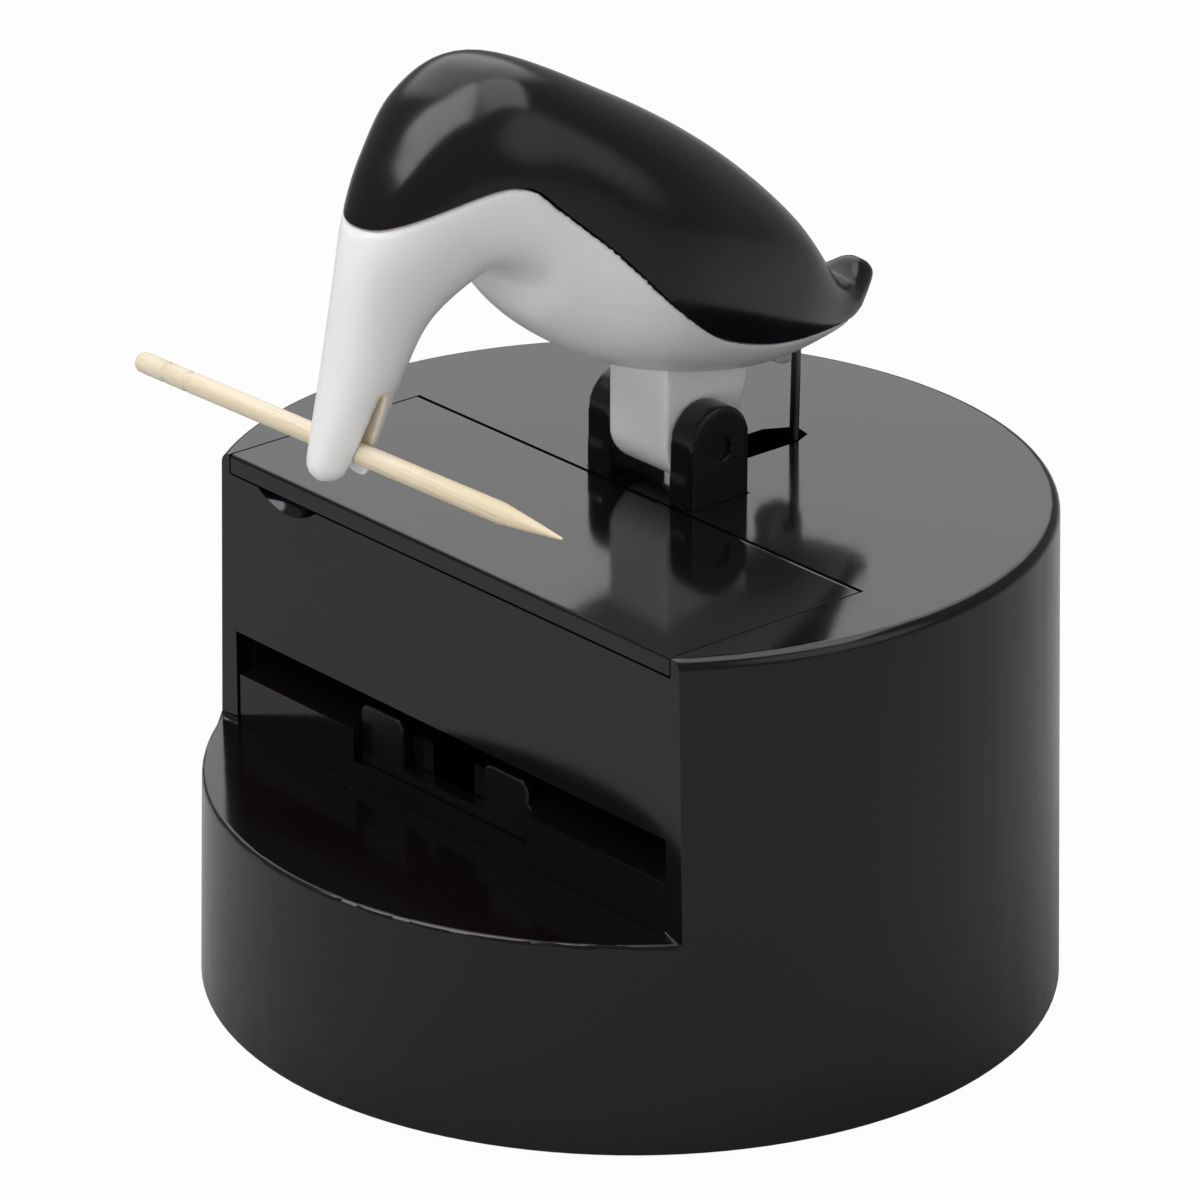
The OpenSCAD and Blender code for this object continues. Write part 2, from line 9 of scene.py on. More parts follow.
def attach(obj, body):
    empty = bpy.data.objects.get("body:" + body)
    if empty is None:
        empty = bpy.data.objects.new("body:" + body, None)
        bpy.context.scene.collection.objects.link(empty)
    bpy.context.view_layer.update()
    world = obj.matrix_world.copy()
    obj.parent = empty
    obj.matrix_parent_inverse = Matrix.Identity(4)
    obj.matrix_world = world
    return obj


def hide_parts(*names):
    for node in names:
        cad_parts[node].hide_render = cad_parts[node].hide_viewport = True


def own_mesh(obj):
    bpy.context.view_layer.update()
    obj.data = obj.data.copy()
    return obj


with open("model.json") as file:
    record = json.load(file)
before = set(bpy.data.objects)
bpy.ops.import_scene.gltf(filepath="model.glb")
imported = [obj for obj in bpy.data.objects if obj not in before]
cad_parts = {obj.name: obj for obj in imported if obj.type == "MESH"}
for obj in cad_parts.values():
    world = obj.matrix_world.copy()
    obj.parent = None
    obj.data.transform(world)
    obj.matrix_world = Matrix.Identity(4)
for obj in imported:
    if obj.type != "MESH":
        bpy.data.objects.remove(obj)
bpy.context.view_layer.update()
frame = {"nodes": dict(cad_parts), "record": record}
nodes = frame["nodes"]
BODY_OF = {n: body for body, members in frame["record"]["behaviour"]["bodies"].items() for n in members}
MM = 0.001  # lengths are in mm, but in metres in the materials, the floor and the lamps


def new_object(name, data):
    obj = bpy.data.objects.new(name, data)
    bpy.context.scene.collection.objects.link(obj)
    return obj


def direction(azimuth, elevation):
    """A unit vector from two angles in radians; the azimuth turns from -Y towards +X."""
    return Vector((math.sin(azimuth) * math.cos(elevation), -math.cos(azimuth) * math.cos(elevation),
                   math.sin(elevation)))


# ---------------------------------------------------------------- camera
AZIMUTH, ELEVATION, ROLL = math.radians(49.272), math.radians(23.178), math.radians(0.075)
DISTANCE = 793.0
TARGET = Vector((0, 0, 25.0))
MOVED_LEFT, MOVED_UP = 3.151, 14.616
FOCAL_PIXELS, FRAME_PIXELS = 7778.2, 1200
SENSOR_WIDTH = 36
NEAREST, FARTHEST = 0.05, 20  # metres


def add_camera():
    """The photograph's camera, as fitted to the object's edges."""
    back = direction(AZIMUTH, ELEVATION)
    right = Vector((math.cos(AZIMUTH), math.sin(AZIMUTH), 0))
    up = back.cross(right)
    place = (TARGET - MOVED_LEFT * right + MOVED_UP * up + DISTANCE * back) * MM
    side = math.cos(ROLL) * right + math.sin(ROLL) * up
    rise = -math.sin(ROLL) * right + math.cos(ROLL) * up
    camera = new_object("camera", bpy.data.cameras.new("camera"))
    camera.matrix_world = Matrix(((side.x, rise.x, back.x, place.x), (side.y, rise.y, back.y, place.y),
                                  (side.z, rise.z, back.z, place.z), (0, 0, 0, 1)))
    camera.data.sensor_width = SENSOR_WIDTH
    camera.data.lens = FOCAL_PIXELS / FRAME_PIXELS * SENSOR_WIDTH
    camera.data.clip_start, camera.data.clip_end = NEAREST, FARTHEST
    bpy.context.scene.camera = camera


add_camera()

# ---------------------------------------------------------------- materials
NOISE_RANGE = (0.3, 0.7)  # where most values of a noise lie
COLOUR_A, COLOUR_B, COLOUR_RESULT = 6, 7, 2  # sockets of a Mix node for colours
NUMBER_A, NUMBER_B, NUMBER_RESULT = 2, 3, 0  # and of one for numbers


class Tree:
    """Short words for building one tree of shader nodes."""

    def __init__(self, owner):
        owner.use_nodes = True
        self.nodes = owner.node_tree.nodes
        self.links = owner.node_tree.links

    def node(self, kind, **settings):
        made = self.nodes.new(kind)
        for key, value in settings.items():
            setattr(made, key, value)
        return made

    def join(self, output, socket):
        self.links.new(output, socket)

    def calculate(self, operation, first, second):
        """One sum or product; second is a number or a node's output."""
        made = self.node("ShaderNodeMath", operation=operation)
        self.join(first, made.inputs[0])
        if isinstance(second, float):
            made.inputs[1].default_value = second
        else:
            self.join(second, made.inputs[1])
        return made.outputs[0]

    def span(self, value, source, target, **settings):
        """Carries a value over from one range (start, end) to another."""
        made = self.node("ShaderNodeMapRange", **settings)
        for side, (start, end) in (("From", source), ("To", target)):
            made.inputs[side + " Min"].default_value = start
            made.inputs[side + " Max"].default_value = end
        self.join(value, made.inputs["Value"])
        return made.outputs["Result"]

    def camera_ray(self):
        return self.node("ShaderNodeLightPath").outputs["Is Camera Ray"]


class Surface(Tree):
    """Short words for building one material. Scales are per metre."""

    def __init__(self, name):
        self.material = bpy.data.materials.new(name)
        super().__init__(self.material)
        self.bsdf = self.nodes["Principled BSDF"]
        self.place = self.node("ShaderNodeTexCoord").outputs["Object"]

    def stretched(self, scale):
        """Places with a scale of their own along each axis."""
        made = self.node("ShaderNodeMapping")
        made.inputs["Scale"].default_value = scale
        self.join(self.place, made.inputs["Vector"])
        return made.outputs["Vector"]

    def noise(self, scale, detail=2.0, rough=0.5, place=None):
        made = self.node("ShaderNodeTexNoise")
        made.inputs["Scale"].default_value = scale
        made.inputs["Detail"].default_value = detail
        made.inputs["Roughness"].default_value = rough
        self.join(place or self.place, made.inputs["Vector"])
        return made.outputs["Fac"]

    def specks(self, scale, size):
        """1 in small round spots, 0 elsewhere."""
        made = self.node("ShaderNodeTexVoronoi")
        made.inputs["Scale"].default_value = scale
        self.join(self.place, made.inputs["Vector"])
        return self.span(made.outputs["Distance"], (size, size * 0.4), (0.0, 1.0))

    def blend(self, factor, first, second):
        """From the first colour to the second; each is a tuple or a node's output."""
        made = self.node("ShaderNodeMix", data_type="RGBA")
        self.join(factor, made.inputs["Factor"])
        for key, value in ((COLOUR_A, first), (COLOUR_B, second)):
            if isinstance(value, tuple):
                made.inputs[key].default_value = (*value, 1)
            else:
                self.join(value, made.inputs[key])
        return made.outputs[COLOUR_RESULT]

    def bump(self, height, distance, strength, under=None):
        """Small relief, on top of the relief given as under."""
        made = self.node("ShaderNodeBump")
        made.inputs["Strength"].default_value = strength
        made.inputs["Distance"].default_value = distance
        self.join(height, made.inputs["Height"])
        if under is not None:
            self.join(under, made.inputs["Normal"])
        return made.outputs["Normal"]

    def uneven(self, noise, low, high):
        """A noise brought to the range from low to high."""
        return self.span(noise, NOISE_RANGE, (low, high))

    def done(self, **values):
        """Fills the shader's own sockets with numbers or nodes' outputs and returns the material."""
        for key, value in values.items():
            socket = self.bsdf.inputs[key.replace("_", " ")]
            if isinstance(value, bpy.types.NodeSocket):
                self.join(value, socket)
            else:
                socket.default_value = value
        return self.material


def black_plastic(name, rough, dust):
    """Polished black moulding: faint ripple, uneven gloss, a little dust."""
    deep, pale, dust_grey = (0.0038, 0.0025, 0.0040), (0.0058, 0.0042, 0.0060), (0.16, 0.16, 0.165)
    s = Surface(name)
    tone = s.blend(s.noise(45, 3), deep, pale)
    dusty_parts = s.span(s.noise(90), (0.56, 0.62), (0, 1))
    spots = s.calculate("MULTIPLY", s.specks(240, 0.035), dusty_parts)
    gloss = s.uneven(s.noise(70, 4), rough * 0.85, rough * 1.2)
    ripple = s.bump(s.noise(260), 0.000012, 0.6)
    skin = s.bump(s.noise(2600), 0.000002, 0.5, under=ripple)
    return s.done(Base_Color=s.blend(s.calculate("MULTIPLY", spots, dust), tone, dust_grey),
                  Roughness=gloss, IOR=1.5, Normal=skin)


def matte_black(name):
    """Black moulding with a fine eroded texture."""
    s = Surface(name)
    return s.done(Base_Color=s.blend(s.noise(60, 3), (0.014, 0.014, 0.015), (0.024, 0.024, 0.025)),
                  Roughness=s.uneven(s.noise(160), 0.42, 0.55), IOR=1.5,
                  Normal=s.bump(s.noise(4200, 3), 0.00003, 0.7))


def white_plastic(name, low, high):
    """Glossy white moulding that lets a little light through."""
    s = Surface(name)
    return s.done(Base_Color=s.blend(s.noise(38, 3), low, high),
                  Roughness=s.uneven(s.noise(85, 3), 0.26, 0.36), IOR=1.49,
                  Normal=s.bump(s.noise(180), 0.00002, 0.5),
                  Subsurface_Weight=0.35, Subsurface_Radius=(1.0, 0.75, 0.55), Subsurface_Scale=0.0016)


def acetal(name):
    """Natural acetal, waxy and slightly cloudy."""
    s = Surface(name)
    return s.done(Base_Color=s.blend(s.noise(120, 4), (0.70, 0.68, 0.60), (0.78, 0.76, 0.69)),
                  Roughness=s.uneven(s.noise(200), 0.38, 0.5), IOR=1.48,
                  Normal=s.bump(s.noise(1500), 0.00001, 0.5))


def steel(name, low, high, rough, streak_scale):
    """Drawn or turned steel, its fine streaks longest along the axes of a small scale."""
    s = Surface(name)
    streaks = s.noise(1, 3, place=s.stretched(streak_scale))
    return s.done(Base_Color=s.blend(streaks, low, high), Metallic=1.0,
                  Roughness=s.uneven(streaks, rough * 0.8, rough * 1.25),
                  Normal=s.bump(streaks, 0.000004, 0.6))


def rubber(name):
    """Matt black rubber with a fine grain."""
    s = Surface(name)
    return s.done(Base_Color=s.blend(s.noise(150, 4), (0.016, 0.016, 0.016), (0.03, 0.03, 0.03)),
                  Roughness=s.uneven(s.noise(400), 0.7, 0.85), IOR=1.52,
                  Normal=s.bump(s.noise(3000, 3), 0.00004, 0.7))


def birch(name):
    """Bare birch, its grain running the length of the stick."""
    dark_band, pale_band = (0.70, 0.585, 0.39), (0.81, 0.74, 0.61)
    pore_brown, patch_brown = (0.52, 0.37, 0.22), (0.66, 0.52, 0.35)
    s = Surface(name)
    broad = s.noise(1, 3, place=s.stretched((14, 520, 520)))
    fine = s.noise(1, 4, rough=0.65, place=s.stretched((60, 2600, 2600)))
    bands = s.blend(s.span(broad, (0.32, 0.68), (0, 1)), dark_band, pale_band)
    with_pores = s.blend(s.span(fine, (0.56, 0.72), (0, 0.75)), bands, pore_brown)
    patches = s.span(s.noise(120), (0.55, 0.75), (0, 0.25))
    return s.done(Base_Color=s.blend(patches, with_pores, patch_brown),
                  Roughness=s.uneven(fine, 0.5, 0.68), IOR=1.5, Normal=s.bump(fine, 0.00006, 0.8),
                  Subsurface_Weight=0.12, Subsurface_Radius=(1.0, 0.7, 0.4), Subsurface_Scale=0.0006)


MATERIALS = {
    "roof_black": black_plastic("black_moulding", rough=0.1, dust=0.5),
    "bird_black": black_plastic("black_bird", rough=0.17, dust=0.25),
    "ear_black": black_plastic("black_bracket", rough=0.24, dust=0.2),
    "matte_black": matte_black("black_matte"),
    "white": white_plastic("white_moulding", (0.80, 0.795, 0.80), (0.85, 0.845, 0.85)),
    # painted shade: a warm, darker white for the faces inside the slit, in place of the shade and warm
    # scattered light there
    "slit_painted_shade": white_plastic("white_painted_slit_shade", (0.77, 0.69, 0.56), (0.83, 0.77, 0.66)),
    "acetal": acetal("natural_acetal"),
    "steel": steel("bright_steel", (0.50, 0.50, 0.51), (0.68, 0.68, 0.69), 0.28, (900, 60, 60)),
    "wire": steel("dark_wire", (0.10, 0.10, 0.105), (0.22, 0.22, 0.225), 0.3, (2500, 2500, 90)),
    "rubber": rubber("black_rubber"),
    "birch": birch("bare_birch"),
}


def paint(obj, material):
    obj.data.materials.clear()
    obj.data.materials.append(MATERIALS[material])


# ---------------------------------------------------------------- meshes
def from_faces(name, points, faces):
    mesh = bpy.data.meshes.new(name)
    mesh.from_pydata([Vector(p) * MM for p in points], [], faces)
    mesh.validate()
    mesh.update()
    return new_object(name, mesh)


def smooth_shade(obj, angle):
    """Smooth shading, but for edges sharper than an angle in degrees."""
    obj.data.shade_smooth()
    obj.data.set_sharp_from_angle(angle=math.radians(angle))


def settle(obj):
    """Applies an object's modifiers."""
    bpy.context.view_layer.update()
    depsgraph = bpy.context.evaluated_depsgraph_get()
    mesh = bpy.data.meshes.new_from_object(obj.evaluated_get(depsgraph))
    obj.modifiers.clear()
    obj.data = mesh


def remesh(obj, voxel):
    """Gives a piece an even fine mesh."""
    modifier = obj.modifiers.new("remesh", "REMESH")
    modifier.mode = "VOXEL"
    modifier.voxel_size = voxel * MM
    settle(obj)


def relax(obj, factor, passes, group=""):
    """Smooths a mesh, or the part of it in a vertex group."""
    modifier = obj.modifiers.new("relax", "SMOOTH")
    modifier.vertex_group = group
    modifier.factor = factor
    modifier.iterations = passes
    settle(obj)


def stand_for(obj, node, material):
    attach(obj, BODY_OF[node])
    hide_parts(node)
    paint(obj, material)


SHARP_EDGE = math.radians(30)
NEARLY_FLAT = math.radians(0.4)
SAME_POINT = 0.002
BEVEL_STEPS = 3


def moulded(node, material, passes, reshape=None):
    """A copy of a CAD node with its sharp edges rounded.
    passes: (radius, test of an edge's middle), one after the other."""
    bm = bmesh.new()
    bm.from_mesh(nodes[node].data)
    if reshape:
        for v in bm.verts:
            v.co = reshape(v.co / MM) * MM
    bmesh.ops.remove_doubles(bm, verts=bm.verts, dist=SAME_POINT * MM)
    bmesh.ops.dissolve_limit(bm, angle_limit=NEARLY_FLAT, verts=bm.verts, edges=bm.edges)
    for radius, test in passes:
        edges = []
        for e in bm.edges:
            middle = (e.verts[0].co + e.verts[1].co) / 2 / MM
            if len(e.link_faces) == 2 and e.calc_face_angle(0) >= SHARP_EDGE and test(middle):
                edges.append(e)
        if edges:
            bmesh.ops.bevel(bm, geom=edges, offset=radius * MM, offset_type="OFFSET", segments=BEVEL_STEPS,
                            profile=0.5, affect="EDGES", clamp_overlap=True, miter_outer="ARC")
    mesh = bpy.data.meshes.new(node + "_moulded")
    bm.to_mesh(mesh)
    bm.free()
    obj = new_object(node + "_moulded", mesh)
    smooth_shade(obj, 35)
    weighted = obj.modifiers.new("weighted", "WEIGHTED_NORMAL")
    weighted.keep_sharp = True
    weighted.weight = 100
    settle(obj)
    stand_for(obj, node, material)
    return obj


SOFT_VOXEL, SOFT_FACTOR = 0.2, 0.6


def soften(obj, passes, bores):
    """Rounds all edges of a piece by smoothing it, but not those of its bores.
    bores: (y, z, radius) of each bore across X."""
    remesh(obj, SOFT_VOXEL)
    free = []
    for v in obj.data.vertices:
        p = v.co / MM
        if all(math.hypot(p.y - y, p.z - z) > r for y, z, r in bores):
            free.append(v.index)
    obj.vertex_groups.new(name="free").add(free, 1.0, "REPLACE")
    relax(obj, SOFT_FACTOR, passes, "free")
    obj.vertex_groups.clear()
    smooth_shade(obj, 60)


# ---------------------------------------------------------------- base
FRONT_Y, SHELF_Z, ROOF_Z = -24.6, 23.1, 52.8
PIVOT, UPPER_HOOK = (5, 58.5), (22.0, 63.0)  # y and z of the bird's pin and of the wire's upper end
SHELF_RIM_R, FOOT_RIM_R, LID_R = 42.5, 41.5, 40  # the rims lie outside, the lid inside
CORNER_X, LID_REAR_Y = 34.6, 1
LID_EDGE_Y, LID_EDGE_Z, LID_EDGE_R = -0.95, 51.6, 1.2  # the round edge's middle and radius
SQUARENESS = 9


def radius_of(p):
    return math.hypot(p.x, p.y)


def shelf_rim(p):
    return abs(p.z - SHELF_Z) < 0.1 and radius_of(p) > SHELF_RIM_R and p.y < FRONT_Y + 0.5


def front_corner(p):
    return abs(p.y - FRONT_Y) < 0.05 and abs(p.x) > CORNER_X and SHELF_Z + 0.2 < p.z < ROOF_Z - 0.2


def foot_rim(p):
    return p.z < 0.6 and radius_of(p) > FOOT_RIM_R


def lid_seam(p):
    return p.z > ROOF_Z - 0.05 and radius_of(p) < LID_R and p.y < LID_REAR_Y


def thin_edge(p):
    """Any other edge above the foot and ahead of the drum's rear."""
    return p.z > 20 and p.y < 30 and not lid_seam(p)


def lid_front(p):
    return abs(p.y - FRONT_Y) < 0.02 and p.z > ROOF_Z - 0.1


def finger_top(p):
    return p.z > 26.5


def anywhere(p):
    return True


def square_edge(p):
    """The lid's round rear edge, drawn out to an almost square one."""
    y, z = p.y - LID_EDGE_Y, p.z - LID_EDGE_Z
    if y <= 0.01 or z <= 0.01 or math.hypot(y, z) < LID_EDGE_R - 0.1:
        return p
    flat = (y ** SQUARENESS + z ** SQUARENESS) ** (1 / SQUARENESS)
    return Vector((p.x, LID_EDGE_Y + y * LID_EDGE_R / flat, LID_EDGE_Z + z * LID_EDGE_R / flat))


moulded("housing", "roof_black",
        [(0.5, shelf_rim), (0.55, front_corner), (0.3, foot_rim), (0.12, thin_edge), (0.05, lid_seam)])
moulded("refill_lid", "roof_black", [(0.4, lid_front), (0.05, anywhere)], square_edge)
moulded("magazine_tray", "roof_black", [(0.12, anywhere)])
moulded("gate_fork", "ear_black", [(0.3, finger_top), (0.15, anywhere)])
ears = moulded("pivot_bracket", "ear_black", [])
soften(ears, passes=16, bores=[(*PIVOT, 1.5)])
leg = moulded("swing_frame", "white", [])
soften(leg, passes=20, bores=[(*PIVOT, 1.7), (*UPPER_HOOK, 1.0)])
moulded("base_plate", "matte_black", [(0.2, anywhere)])
moulded("rubber_feet", "rubber", [(0.35, anywhere)])
moulded("base_screws", "steel", [(0.12, anywhere)])
moulded("lifter_lever", "acetal", [(0.25, anywhere)])
moulded("lever_bumper", "rubber", [(0.4, anywhere)])
for kept, kept_material in (("pivot_pin", "ear_black"), ("lever_axle", "steel"), ("axle_clips", "steel"),
                            ("rod_cap_upper", "wire"), ("rod_cap_lower", "wire")):
    paint(nodes[kept], kept_material)

SCOOP_X, SCOOP_Z, SCOOP_R = -24.8, 56.9, 7.85  # the middle and radius of its round outline
SCOOP_SEAT, SCOOP_DEPTH, SCOOP_CURVE = 50.62, 1.5, 0.9
SCOOP_FACE, SCOOP_BACK = FRONT_Y + 0.02, FRONT_Y + 1.9
SCOOP_WIDTH_SHARE, SCOOP_OVERLAP = 0.985, 0.03  # of the outline at the seat, and into the wall below
SCOOP_COLUMNS, SCOOP_ROWS = 33, 10


def nail_scoop():
    """The hollow under the lid's lip, curving in from the wall's face to the lid's seat."""
    half = SCOOP_WIDTH_SHARE * math.sqrt(SCOOP_R * SCOOP_R - (SCOOP_Z - SCOOP_SEAT) ** 2)
    columns, rows = SCOOP_COLUMNS, SCOOP_ROWS
    points = []
    for seen in (True, False):
        for i in range(columns):
            x = half * (2 * i / (columns - 1) - 1)
            low = SCOOP_Z - math.sqrt(SCOOP_R * SCOOP_R - x * x) - SCOOP_OVERLAP
            for j in range(rows):
                v = j / (rows - 1)
                y = SCOOP_FACE + SCOOP_DEPTH * v ** SCOOP_CURVE if seen else SCOOP_BACK
                points.append((SCOOP_X + x, y, low + (SCOOP_SEAT - low) * v))
    n = columns * rows
    faces = []
    for i in range(columns - 1):
        for j in range(rows - 1):
            a, b = i * rows + j, (i + 1) * rows + j
            faces.append((a, b, b + 1, a + 1))
            faces.append((n + a + 1, n + b + 1, n + b, n + a))
    rim = [i * rows for i in range(columns)] + [(columns - 1) * rows + j for j in range(1, rows)]
    rim += [i * rows + rows - 1 for i in range(columns - 2, -1, -1)] + list(range(rows - 2, 0, -1))
    for a, b in zip(rim, rim[1:] + rim[:1]):
        faces.append((b, a, n + a, n + b))
    made = from_faces("nail_scoop", points, faces)
    smooth_shade(made, 50)
    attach(made, BODY_OF["housing"])
    paint(made, "roof_black")


nail_scoop()


# ---------------------------------------------------------------- wire and spring
def sweep(name, path, radius, sides):
    """A round bar along a list of points, closed at both ends."""
    middles = [Vector(p) for p in path]
    last = len(middles) - 1
    normal = None
    points, faces = [], []
    for i, middle in enumerate(middles):
        tangent = (middles[min(i + 1, last)] - middles[max(i - 1, 0)]).normalized()
        if normal is None:
            normal = tangent.orthogonal()
        normal = (normal - tangent * normal.dot(tangent)).normalized()
        other = tangent.cross(normal)
        for k in range(sides):
            a = 2 * math.pi * k / sides
            points.append(middle + radius * (math.cos(a) * normal + math.sin(a) * other))
    for i in range(last):
        for k in range(sides):
            a, b = i * sides + k, i * sides + (k + 1) % sides
            faces.append((a, b, b + sides, a + sides))
    faces.append(tuple(range(sides - 1, -1, -1)))
    faces.append(tuple(range(last * sides, (last + 1) * sides)))
    made = from_faces(name, points, faces)
    smooth_shade(made, 50)
    return made


AXLE_Y, AXLE_Z = -13, 17
EYE_REACH, EYE_ANGLE = 34.5, math.radians(11)  # from the lever's axle down to the wire's lower end
LOWER_HOOK = (AXLE_Y + EYE_REACH * math.cos(EYE_ANGLE), AXLE_Z - EYE_REACH * math.sin(EYE_ANGLE))
WIRE_X, WIRE_R, HOOK_X, HOOK_STRAIGHT, BEND_R = 0.2, 0.5, -5.2, 2, 0.75
BEND_ANGLES = range(0, 91, 15)


def wire_path():
    """The wire's middle line: hook, bend, straight part, bend, hook."""
    dy, dz = LOWER_HOOK[0] - UPPER_HOOK[0], LOWER_HOOK[1] - UPPER_HOOK[1]
    length = math.hypot(dy, dz)

    def at(t, x):
        return (x, UPPER_HOOK[0] + t * dy, UPPER_HOOK[1] + t * dz)

    def bend(end, angles):
        """The bend at the upper end, 0, or the lower end, 1."""
        points = []
        for degrees in angles:
            a = math.radians(degrees)
            points.append(at(abs(end - BEND_R * (1 - math.cos(a)) / length),
                             WIRE_X - BEND_R + BEND_R * math.sin(a)))
        return points

    upper = [at(0, HOOK_X), at(0, HOOK_X + HOOK_STRAIGHT)] + bend(0, BEND_ANGLES)
    straight = [at(t, WIRE_X) for t in (0.1, 0.3, 0.5, 0.7, 0.9)]
    lower = bend(1, reversed(BEND_ANGLES)) + [at(1, HOOK_X + HOOK_STRAIGHT), at(1, HOOK_X)]
    return upper + straight + lower


stand_for(sweep("wire_bent", wire_path(), WIRE_R, 24), "link_rod", "wire")

SPRING_X, SPRING_Y, SPRING_R = -2.15, -22.6, 2.7
SPRING_FOOT, SPRING_TOP, SPRING_TURNS, SPRING_WIRE = 3.05, 12.15, 6, 0.6
END_RISE = 0.08  # the share of the height that each end's flat turn takes
STEPS_A_TURN = 30


def coil_point(u):
    """A point on the spring's middle line after u turns."""
    if u < 1:
        rise = END_RISE * u * u
    elif u > SPRING_TURNS - 1:
        rise = 1 - END_RISE * (SPRING_TURNS - u) ** 2
    else:
        rise = END_RISE + (u - 1) * (1 - 2 * END_RISE) / (SPRING_TURNS - 2)
    a = 2 * math.pi * u
    return (SPRING_X + SPRING_R * math.cos(a), SPRING_Y + SPRING_R * math.sin(a),
            SPRING_FOOT + SPRING_WIRE / 2 + rise * (SPRING_TOP - SPRING_FOOT - SPRING_WIRE))


coil = [coil_point(k / STEPS_A_TURN) for k in range(STEPS_A_TURN * SPRING_TURNS + 1)]
spring = sweep("spring_wound", coil, SPRING_WIRE / 2, 12)
stand_for(spring, "gate_spring", "steel")
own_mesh(spring)

# ---------------------------------------------------------------- toothpick
PICK_Y, PICK_Z, PICK_R = -36.4, 67.0, 1.1
PICK_SLANT, PICK_SHIFT = math.radians(1.2), 0.4
PICK_HALF, PICK_SIDES = 32.5, 40
BLUNT_END = ((0, 0.0), (0, 0.72), (0.12, 0.92), (0.4, 1.06), (1.2, PICK_R))  # x from the end, radius
GROOVES = (4.55, 8.05)  # from the blunt end
GROOVE_OUTLINE = ((-0.45, 0), (-0.3, 0.1), (-0.12, 0.24), (0.12, 0.24), (0.3, 0.1), (0.45, 0))
PLAIN_START, PLAIN_END, PLAIN_STEP = 9.5, 9.4, 1.6  # from each end of the stick, and between its rings
TIP_LENGTH, TIP_CURVE, TIP_R, TIP_ROUND = 9, 0.92, 0.1, 0.12
TIP_RINGS = (0, 0.08, 0.2, 0.35, 0.5, 0.65, 0.8, 0.9, 0.96)


def pick_outline():
    """The stick's outline as (x, radius), from its blunt end to its point."""
    start, end = -PICK_HALF, PICK_HALF
    outline = [(start + along, radius) for along, radius in BLUNT_END]
    for groove in GROOVES:
        for offset, depth in GROOVE_OUTLINE:
            outline.append((start + groove + offset, PICK_R - depth))
    x = start + PLAIN_START
    while x < end - PLAIN_END:
        outline.append((x, PICK_R))
        x += PLAIN_STEP
    for t in TIP_RINGS:
        outline.append((end - TIP_LENGTH + TIP_LENGTH * t, PICK_R * (1 - t) ** TIP_CURVE + TIP_R * t))
    return outline + [(end - TIP_ROUND, TIP_ROUND), (end, 0.0)]


def out_of_round(angle, x):
    """The share of the radius that the slight flats of a cut strip leave."""
    broad = 0.018 * (0.5 + 0.5 * math.sin(3 * angle + 0.7))
    narrow = 0.012 * (0.5 + 0.5 * math.sin(7 * angle + 0.1 * x))
    return 1 - broad - narrow


def toothpick():
    outline = pick_outline()
    sides = PICK_SIDES
    points, faces = [], []
    for x, radius in outline:
        if radius == 0:
            points.append((x, 0, 0))
            continue
        for k in range(sides):
            a = 2 * math.pi * k / sides
            r = radius * out_of_round(a, x)
            points.append((x, r * math.cos(a), r * math.sin(a)))
    last = len(points) - 1
    rows = len(outline) - 2
    for k in range(sides):
        n = (k + 1) % sides
        faces.append((0, 1 + n, 1 + k))
        faces.append((last, 1 + (rows - 1) * sides + k, 1 + (rows - 1) * sides + n))
    for i in range(rows - 1):
        for k in range(sides):
            a, b = 1 + i * sides + k, 1 + i * sides + (k + 1) % sides
            faces.append((a, b, b + sides, a + sides))
    held = Matrix.Translation((-PICK_SHIFT, PICK_Y, PICK_Z)) @ Matrix.Rotation(-PICK_SLANT, 4, "Y")
    made = from_faces("toothpick_turned", [held @ Vector(p) for p in points], faces)
    smooth_shade(made, 40)
    stand_for(made, "toothpick", "birch")


toothpick()

# ---------------------------------------------------------------- bird
# cross-sections from the beak's tip to the tail: y and z on the outline of beak, head and back,
# y and z opposite to that on the throat and belly, and half the width
STATIONS = [
    (-40.2, 64.6, -34.6, 63.8, 1.0), (-41.0, 65.8, -34.0, 64.9, 2.1), (-40.8, 67.8, -33.8, 66.3, 2.4),
    (-38.7, 75.6, -30.7, 73.3, 3.4), (-36.9, 84.6, -27.0, 78.5, 3.9), (-34.9, 90.2, -21.2, 82.2, 6.1),
    (-31.5, 95.6, -18.7, 82.1, 8.1), (-25.7, 101.3, -16.7, 80.0, 10.4), (-17.9, 103.2, -15.2, 75.5, 11.7),
    (-4.7, 96.8, -9.1, 70.6, 14.8), (6.7, 89.5, -1.8, 67.3, 14.1), (16.8, 80.6, 10.2, 64.5, 11.1),
    (23.2, 72.4, 21.2, 64.7, 7.0), (26.4, 69.9, 27.5, 66.2, 4.6), (29.1, 70.8, 32.5, 68.9, 1.6)]
# y and z of the line between the black cap and the white shell
PARTING = [(-42, 88.2), (-35.5, 89.6), (-33, 90.4), (-28, 92.3), (-25, 93.3), (-23, 93.5), (-21, 92.8),
           (-18.5, 90.5), (-13, 85.3), (-7.7, 79.6), (-2.7, 75.3), (2, 72.3), (8, 70), (14, 68.6), (21, 67.4),
           (25, 66.9), (34, 66)]
ROUNDNESS = 2.3  # 2 is an ellipse, more is squarer
SHELL = 1.6
WHITE_GAP = 0.04  # between the white shell and the black cap
OUTER_STATIONS = (0, len(STATIONS) - 1.12)
INNER_STATIONS = (5.3, len(STATIONS) - 2.4)
SMALLEST_HALF = 0.3
TAIL_DOME, DOME_STEPS, DOME_STEP_ANGLE = 0.9, 6, 14
LINE_STEPS = 8  # points of the parting line for each of PARTING's
TAIL_Y, TAIL_PASSES = 27.2, 16
CROWN_Z, CROWN_SQUEEZE = 103, 0.7
CUT_TOP, CUT_HALF = 110, 20  # cutters reach well past the bird


